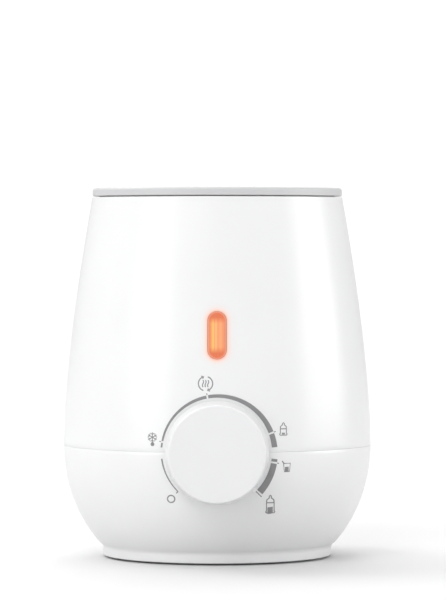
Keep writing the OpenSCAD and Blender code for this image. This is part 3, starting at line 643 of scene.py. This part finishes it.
class WARMER_OT_casing(bpy.types.Operator):
    """Turn the two shells of the casing, and cut the window and the openings in them"""
    bl_idname = "warmer.casing"
    bl_label = "Casing"

    def execute(self, context):
        casing, window = context.scene.warmer_casing, context.scene.warmer_window
        plastic = casing_plastic(window, casing.colour)
        edge = 0.08 * MM
        gap = casing.parting_gap / 2

        upper = taper_line(casing)
        low, high = casing.parting_height + gap, casing.top_height
        outer = [(r, z) for r, z in upper if low + edge < z < high - edge]
        outer = [(casing.belly_radius - edge, low), (casing.belly_radius - edge * 0.3, low + edge * 0.3)] \
            + [(casing.belly_radius, low + edge)] + outer \
            + self.top_edge(casing.shoulder_radius, high, edge)
        inner = [(r, z) for r, z in beside(upper, casing.wall) if low < z < high]
        inner = [(inner[0][0], low)] + inner + [(inner[-1][0], high)]
        shell = turned("upper_shell", outer + inner[::-1], steps=192)
        cut_with(shell, capsule(
            "window_cutter", window.width, window.height, (0, -casing.belly_radius, window.centre),
            CUTTER_DEPTH))
        self.bore_for_dial(shell, casing)
        finish_piece(shell, "housing", plastic, replaces=("upper_casing",))

        lower = bowl_line(casing)
        top = casing.parting_height - gap
        foot = casing.foot_height
        band = foot + casing.band_height
        outer = arc((casing.foot_radius - FOOT_EDGE, foot + FOOT_EDGE), FOOT_EDGE, -90, 0, 6)
        outer += arc((casing.foot_radius + NECK, band), NECK, 180, 134, 10)
        outer += [p for p in lower if p[1] < top - edge]
        outer += self.top_edge(casing.belly_radius, top, edge)
        tongue = casing.belly_radius - casing.wall - FIT
        tongue_in = tongue - 1.6 * MM
        lip = casing.parting_height + 3 * MM
        inner = [(tongue, top), (tongue, lip), (tongue_in, lip), (tongue_in, top - 3.5 * MM)]
        inner += [p for p in beside(lower, casing.wall)[::-1] if p[1] < top - 6 * MM]
        inner += [(casing.foot_radius - casing.wall, band), (casing.foot_radius - casing.wall, foot)]
        shell = turned("lower_shell", outer + inner, steps=192)
        self.bore_for_dial(shell, casing)
        gland = (cad_low("cord_gland") + cad_high("cord_gland")) / 2
        bpy.ops.mesh.primitive_cylinder_add(
            vertices=64, radius=CUP_RADIUS, depth=0.03, location=(0, gland.y + 0.012, gland.z),
            rotation=(math.pi / 2, 0, 0))
        cut_with(shell, context.object)
        finish_piece(shell, "housing", plastic, replaces=("lower_casing",))
        self.inlet_cup(casing, plastic)
        return {"FINISHED"}

    def top_edge(self, radius, height, edge):
        """The three points of a slightly rounded upper edge."""
        return [
            (radius, height - edge), (radius - edge * 0.3, height - edge * 0.3), (radius - edge, height)]

    def bore_for_dial(self, shell, casing):
        bush = (cad_low("knob_bush") + cad_high("knob_bush")) / 2
        start()
        bpy.ops.mesh.primitive_cylinder_add(
            vertices=64, radius=BUSH_HOLE, depth=0.02, location=(0, -casing.belly_radius, bush.z),
            rotation=(math.pi / 2, 0, 0))
        cut_with(shell, bpy.context.object)

    def inlet_cup(self, casing, plastic):
        """Round cup in the back of the lower shell that the cord gland sits in."""
        low, high = cad_low("cord_gland"), cad_high("cord_gland")
        gland_in = 7.5 * MM                     # length of gland inside the cup's floor
        seat = low.y + gland_in
        z = (low.z + high.z) / 2
        place = Matrix.Translation((0, seat, z)) @ Matrix.Rotation(-math.pi / 2, 4, "X")
        reach = casing_radius(casing, z) - seat
        gland_hole = 5.65 * MM
        outline = [
            (gland_hole, -CUP_WALL), (CUP_RADIUS + CUP_WALL, -CUP_WALL), (CUP_RADIUS + CUP_WALL, reach),
            (CUP_RADIUS, reach), (CUP_RADIUS, 0), (gland_hole, 0)]
        cup = turned("inlet_cup", outline, place, steps=64)
        mould = turned("cup_trim", [
            (0, casing.foot_height)] + bowl_line(casing, 32) + [(0, casing.parting_height)], steps=96)
        cut_with(cup, mould, "INTERSECT")
        finish_piece(cup, "housing", plastic)


class WARMER_OT_rim_ring(bpy.types.Operator):
    """Turn the light grey ring around the mouth of the well"""
    bl_idname = "warmer.rim_ring"
    bl_label = "Rim ring"

    def execute(self, context):
        low, high = cad_low("rim_ring"), cad_high("rim_ring")
        radius, mouth, top = high.x, MOUTH, high.z
        edge = 1.2 * MM
        outline = [(mouth, low.z), (radius - 0.2 * MM, low.z), (radius, low.z + 0.2 * MM)]
        outline += arc((radius - edge, top - edge), edge, 0, 90, 10)
        outline += [bezier((
            (mouth + 3.6 * MM, top), (mouth + 1.6 * MM, top),
            (mouth, top - 0.6 * MM), (mouth, top - 2 * MM)), i / 12) for i in range(13)]
        ring = turned("rim_ring_top", outline, steps=192)
        finish = moulded("ring_plastic", context.scene.warmer_casing.ring_colour, 0.42)
        finish_piece(ring, "housing", finish.material, replaces=("rim_ring",))
        return {"FINISHED"}


class WARMER_OT_knob(bpy.types.Operator):
    """Turn the dial knob and give it its pointer rib"""
    bl_idname = "warmer.knob"
    bl_label = "Knob"

    def execute(self, context):
        dial = context.scene.warmer_dial
        low, high = cad_low("knob"), cad_high("knob")
        z = context.scene.warmer_casing.parting_height
        depth = high.y - low.y
        place = Matrix.Translation((0, high.y, z)) @ Matrix.Rotation(math.pi / 2, 4, "X")
        base, face, edge, wall = dial.base_radius, dial.face_radius, dial.edge, 1.8 * MM
        base_edge, fillet = 0.2 * MM, 1.5 * MM
        outline = [(base - wall, 0), (base - base_edge, 0), (base, base_edge)]
        outline += arc((face - edge, depth - edge), edge, 0, 90, 14)
        outline += [(face * 0.5, depth), (0, depth), (0, depth - wall)]
        outline += [(face - wall - fillet, depth - wall), (face - wall, depth - wall - fillet)]
        inside = outline.index((0, depth - wall))
        knob = turned("dial_knob", outline[inside:] + outline[:inside], place, steps=160)

        spin = place @ Matrix.Rotation(-dial.rest_angle, 4, "Z")
        start()
        bpy.ops.mesh.primitive_cube_add(size=1)
        rib = context.object
        rib_tall = depth * 0.55
        rib.data.transform(
            spin @ Matrix.Translation((0, base - 0.9 * MM, rib_tall / 2))
            @ Matrix.Diagonal((1.6 * MM, 2.7 * MM, rib_tall, 1)))
        apply_modifier(rib, "BEVEL", width=0.3 * MM, segments=3)
        hub_radius, hub_low, hub_high = 5.6 * MM, 3 * MM, depth - wall / 2
        hub = turned("knob_hub", [
            (SHAFT_BORE, hub_low), (hub_radius, hub_low), (hub_radius, hub_high), (SHAFT_BORE, hub_high)],
            place, steps=48)
        knob = joined("dial_knob", [knob, rib, hub])
        finish = moulded("knob_plastic", (0.80, 0.802, 0.808), 0.34)
        finish_piece(knob, "dial", finish.material, replaces=("knob",))
        return {"FINISHED"}


class WARMER_OT_window(bpy.types.Operator):
    """Shape the lit window to the casing's curve"""
    bl_idname = "warmer.window"
    bl_label = "Indicator window"

    def execute(self, context):
        casing, window = context.scene.warmer_casing, context.scene.warmer_window
        fit = 0.1 * MM
        low, high = window.centre - window.height * 0.6, window.centre + window.height * 0.6
        line = [(r - 0.05 * MM, z) for r, z in taper_line(casing) if low < z < high]
        band = turned("window_lens", line + beside(line, 3.3 * MM)[::-1], steps=288)
        slug = capsule("lens_cutter", window.width - 2 * fit, window.height - 2 * fit,
                       (0, -casing.belly_radius, window.centre), CUTTER_DEPTH)
        cut_with(band, slug, "INTERSECT")
        finish_piece(band, "housing", lit_window(window), replaces=("indicator_lens",))
        return {"FINISHED"}


def dial_point(casing, angle, radius, out):
    """Point on the casing at an angle clockwise from the top of the knob."""
    a = math.radians(angle)
    return on_casing(casing, radius * math.sin(a), casing.parting_height + radius * math.cos(a), out)


class WARMER_OT_scale(bpy.types.Operator):
    """Print the scale around the knob, wider towards the hot end, with its marks"""
    bl_idname = "warmer.scale"
    bl_label = "Dial scale"

    end = 135                                   # degrees from the top to either end
    marks = (-end, -79.3, -9.9, 70.5, 100.3, end)
    break_off = (6.7, 5.0)                      # degrees left free below and above the parting line

    def width(self, dial, angle):
        part = (angle + self.end) / (2 * self.end)
        return dial.scale_thin + (dial.scale_thick - dial.scale_thin) * part ** 1.25

    def stretch_of_scale(self, casing, dial, first, last):
        """A band spun round the knob, then widened and laid on the casing."""
        steps = max(4, int((last - first) / 1.2))
        inner = dial.scale_radius
        piece = trace("band", [(inner, 0, 0), (inner + 0.25 * MM, 0, 0), (inner + 0.5 * MM, 0, 0)])
        bpy.ops.mesh.spin(
            steps=steps, angle=math.radians(last - first), center=(0, 0, 0), axis=(0, 1, 0))
        bpy.ops.object.mode_set(mode="OBJECT")
        angles = [math.atan2(v.co.z, v.co.x) for v in piece.data.vertices]
        for vertex, turn in zip(piece.data.vertices, angles):
            part = (vertex.co.length - inner) / (0.5 * MM)
            angle = first + abs(math.degrees(turn))
            vertex.co = dial_point(
                casing, angle, inner + part * self.width(dial, angle), 0.03 * MM)
        apply_modifier(piece, "SOLIDIFY", thickness=0.06 * MM, offset=-1)
        return piece

    def execute(self, context):
        casing, dial = context.scene.warmer_casing, context.scene.warmer_dial
        mark_gap = 0.9
        bounds = [-self.end]
        for mark in self.marks[1:-1] + (-90, 90):
            below, above = self.break_off if abs(mark) == 90 else (mark_gap, mark_gap)
            bounds += [mark - above, mark + below] if mark > 0 else [mark - below, mark + above]
        bounds = sorted(bounds + [self.end - 2])
        pieces = []
        for first, last in zip(bounds[::2], bounds[1::2]):
            if last - first > 1:
                pieces.append(self.stretch_of_scale(casing, dial, first, last))
        for mark in self.marks:
            edge = dial.scale_radius + self.width(dial, mark)
            inner = edge + 0.1 * MM if abs(mark) < self.end else dial.scale_radius
            outer = edge + (0.5 if mark == self.end else 0.8) * MM
            ends = [dial_point(casing, mark, r, 0) for r in (inner, (inner + outer) / 2, outer)]
            pieces.append(pad_print("mark", casing, [(p.x, p.z) for p in ends], 0.38 * MM))
        scale = joined("dial_scale", pieces)
        finish_piece(scale, "housing", print_ink(dial))
        return {"FINISHED"}


def print_ink(dial):
    """Grey pad-printing ink, shared by the scale and the symbols."""
    made = bpy.data.materials.get("print_ink")
    if made:
        return made
    ink = Finish("print_ink", dial.print_colour, 0.5, specular=0.3)
    ink.vary(dial.print_colour, 400, 0.08)
    ink.bump(ink.noise(3000, 2), 0.2, 0.00001)
    return ink.material


def ring_of(x, z, radius, first=0.0, last=360.0):
    count = max(6, int((last - first) / 12))
    steps = [math.radians(first + (last - first) * i / count) for i in range(count + 1)]
    return [(x + radius * math.sin(a), z + radius * math.cos(a)) for a in steps]


class WARMER_OT_symbols(bpy.types.Operator):
    """Print the symbol beside each mark of the scale"""
    bl_idname = "warmer.symbols"
    bl_label = "Dial symbols"

    hair, thin, line, bold = 0.34, 0.42, 0.44, 0.48     # widths of the strokes

    def strokes(self):
        """Lines as (width, points), all in millimetres across and up from the table."""
        lines = [(self.bold, ring_of(-18.05, 27.4, 1.42))]
        lines += self.snowflake(-25.4, 51.5, 1.9)
        drop = ((0.5, 49.95, 49.5), (1.05, 49.6, 49.15), (1.65, 49.2, 48.4), (1.15, 48.45, 48.1))
        lines += [(width, [(-25.4, top), (-25.4, low)]) for width, top, low in drop]
        lines += self.keep_warm(-4.5, 72.7, 2.8)
        lines += self.bottle(26.05, 52.3, 1.2, 2.5, 4.9, 0.95)
        lines += self.bottle(20.95, 21.7, 1.5, 4.1, 7.1, 2.8)
        lines += self.cup(27.45, 37.95, 1.0, 3.3)
        return lines

    def snowflake(self, x, z, radius):
        lines = []
        for turn in range(0, 360, 60):
            def arm(reach, aside=0.0):
                a = math.radians(turn) + aside
                return x + reach * math.sin(a), z + reach * math.cos(a)
            lines.append((self.thin, [(x, z), arm(radius)]))
            lines.append((self.hair, [
                arm(radius * 0.95, 0.42), arm(radius * 0.55), arm(radius * 0.95, -0.42)]))
        return lines

    def keep_warm(self, x, z, radius):
        """Three rising waves inside two arrows that chase each other."""
        lines = []
        sweep = 138
        for first in (18, 198):
            lines.append((self.bold, ring_of(x, z, radius, first, first + sweep)))
            end = math.radians(first + sweep)
            head = ((radius - 0.6, -0.12), (radius, 0.16), (radius + 0.6, -0.12))
            lines.append((self.thin, [
                (x + r * math.sin(end + turn), z + r * math.cos(end + turn)) for r, turn in head]))
        for shift in (-1.0, 0, 1.0):
            lines.append((self.thin, [
                (x + shift - 0.22 * math.sin(t * 0.785), z + (t - 4) * 0.34) for t in range(9)]))
        return lines

    def bottle(self, x, low, half, shoulder, top, filled):
        """A feeding bottle in outline, filled to a level: body, collar and teat."""
        up = low + shoulder
        body = [(x + half, up), (x + half, low + 0.8), (x + half + 0.3, low + 0.4), (x + half, low),
                (x - half, low), (x - half - 0.3, low + 0.4), (x - half, low + 0.8), (x - half, up)]
        collar = [(x - half - 0.2, up), (x, up), (x + half + 0.2, up)]
        rise = top - shoulder
        side = [
            (half, 0.25), (half * 0.9, rise * 0.4), (0.45, rise * 0.62), (0.36, rise - 0.35), (0.0, rise)]
        teat = [(x - dx, up + dz) for dx, dz in side] + [(x + dx, up + dz) for dx, dz in side[-2::-1]]
        level = [(x, low + 0.25), (x, low + filled)]
        return [
            (self.line, body), (self.line, collar), (self.line, teat), (2 * half - 1.0, level)]

    def cup(self, x, low, half, tall):
        rim = half + 0.35
        top = low + tall
        wall = [(x - rim, top), (x - half, low), (x + half, low), (x + rim, top), (x - rim, top)]
        spoon = [(x - 1.9, top + 0.95), (x - 1.1, top - 0.1)]
        food = [(x, low + 0.25), (x, low + tall * 0.62)]
        return [(self.line, wall), (0.55, spoon), (1.7, food)]

    def execute(self, context):
        casing, dial = context.scene.warmer_casing, context.scene.warmer_dial
        pieces = [
            pad_print("symbol", casing, [(x * MM, z * MM) for x, z in points], width * MM)
            for width, points in self.strokes()]
        symbols = joined("dial_symbols", pieces)
        finish_piece(symbols, "housing", print_ink(dial))
        return {"FINISHED"}


class WARMER_OT_finishes(bpy.types.Operator):
    """Give every remaining part of the frame the finish of its material slot"""
    bl_idname = "warmer.finishes"
    bl_label = "Inner finishes"

    def execute(self, context):
        casing = context.scene.warmer_casing
        made = {
            "well": moulded("well_plastic", (0.74, 0.745, 0.75), 0.4),
            "hot_plate": metal("hot_plate_steel", (0.62, 0.62, 0.63), 0.28, (1, 12, 1)),
            "silicone": rubber("silicone_gasket", (0.6, 0.16, 0.1)),
            "soft_grey": rubber("anti_slip_rubber", (0.22, 0.225, 0.235)),
            "sheet_metal": metal("sheet_aluminium", (0.72, 0.73, 0.74), 0.35),
            "element_sheath": metal("element_sheath", (0.3, 0.27, 0.24), 0.45),
            "bakelite": moulded("bakelite", (0.09, 0.05, 0.035), 0.45),
            "sensor_can": metal("sensor_brass", (0.68, 0.5, 0.22), 0.3),
            "spring_steel": metal("spring_steel", (0.5, 0.5, 0.51), 0.3),
            "screw_steel": metal("zinc_plate", (0.6, 0.6, 0.61), 0.32),
            "circuit_board": moulded("board_green", (0.02, 0.16, 0.06), 0.35, 1500),
            "power_board": moulded("board_brown", (0.36, 0.23, 0.09), 0.4, 1500),
            "black_part": moulded("black_plastic", (0.02, 0.02, 0.022), 0.45),
            "blue_part": moulded("blue_plastic", (0.03, 0.12, 0.45), 0.4),
            "green_part": moulded("green_plastic", (0.04, 0.26, 0.1), 0.4),
            "yellow_part": moulded("yellow_plastic", (0.7, 0.45, 0.05), 0.4),
            "copper_part": metal("enamelled_copper", (0.55, 0.22, 0.08), 0.35),
            "white_part": moulded("white_plastic", (0.78, 0.78, 0.76), 0.42),
            "glass_part": Finish("fuse_glass", (0.85, 0.9, 0.9), 0.05, alpha=0.45),
            "led": moulded("led_body", (1.0, 0.6, 0.25), 0.25),
            "red_wire": rubber("red_lead", (0.5, 0.04, 0.02), 0.5),
            "blue_wire": rubber("blue_lead", (0.03, 0.06, 0.4), 0.5),
            "label": metal("label_foil", (0.62, 0.62, 0.64), 0.45),
            "casing": moulded("spare_casing", casing.colour, 0.36),
        }
        made["glass_part"].roughen(300, 0.03, 0.09)
        for part in frame["record"]["subparts"]:
            finish = made.get(part["material_slot"])
            if finish:
                node = frame["nodes"][part["node"]]
                for place in node.material_slots:
                    place.material = finish.material
        return {"FINISHED"}


class WARMER_PT_panel(bpy.types.Panel):
    """Lists the warmer's pieces and settings"""
    bl_idname = "WARMER_PT_panel"
    bl_label = "Bottle warmer"
    bl_space_type = "VIEW_3D"
    bl_region_type = "UI"
    bl_category = "Bottle warmer"

    def draw(self, context):
        for operator in OPERATORS:
            self.layout.operator(operator.bl_idname)
        for name, settings in SETTINGS.items():
            box = self.layout.box()
            for prop in settings.__annotations__:
                box.prop(getattr(context.scene, name), prop)


OPERATORS = (
    WARMER_OT_stage, WARMER_OT_finishes, WARMER_OT_casing, WARMER_OT_rim_ring, WARMER_OT_knob,
    WARMER_OT_window, WARMER_OT_scale, WARMER_OT_symbols)


def register():
    for made in (*SETTINGS.values(), *OPERATORS, WARMER_PT_panel):
        bpy.utils.register_class(made)
    for name, settings in SETTINGS.items():
        setattr(bpy.types.Scene, name, PointerProperty(type=settings))


def unregister():
    for name in SETTINGS:
        delattr(bpy.types.Scene, name)
    for made in (WARMER_PT_panel, *reversed(OPERATORS), *reversed(SETTINGS.values())):
        bpy.utils.unregister_class(made)


def main():
    register()
    for operator in OPERATORS:
        group, name = operator.bl_idname.split(".")
        if getattr(getattr(bpy.ops, group), name)() != {"FINISHED"}:
            raise RuntimeError(f"{operator.bl_label} was not finished")


if __name__ == "__main__":
    main()
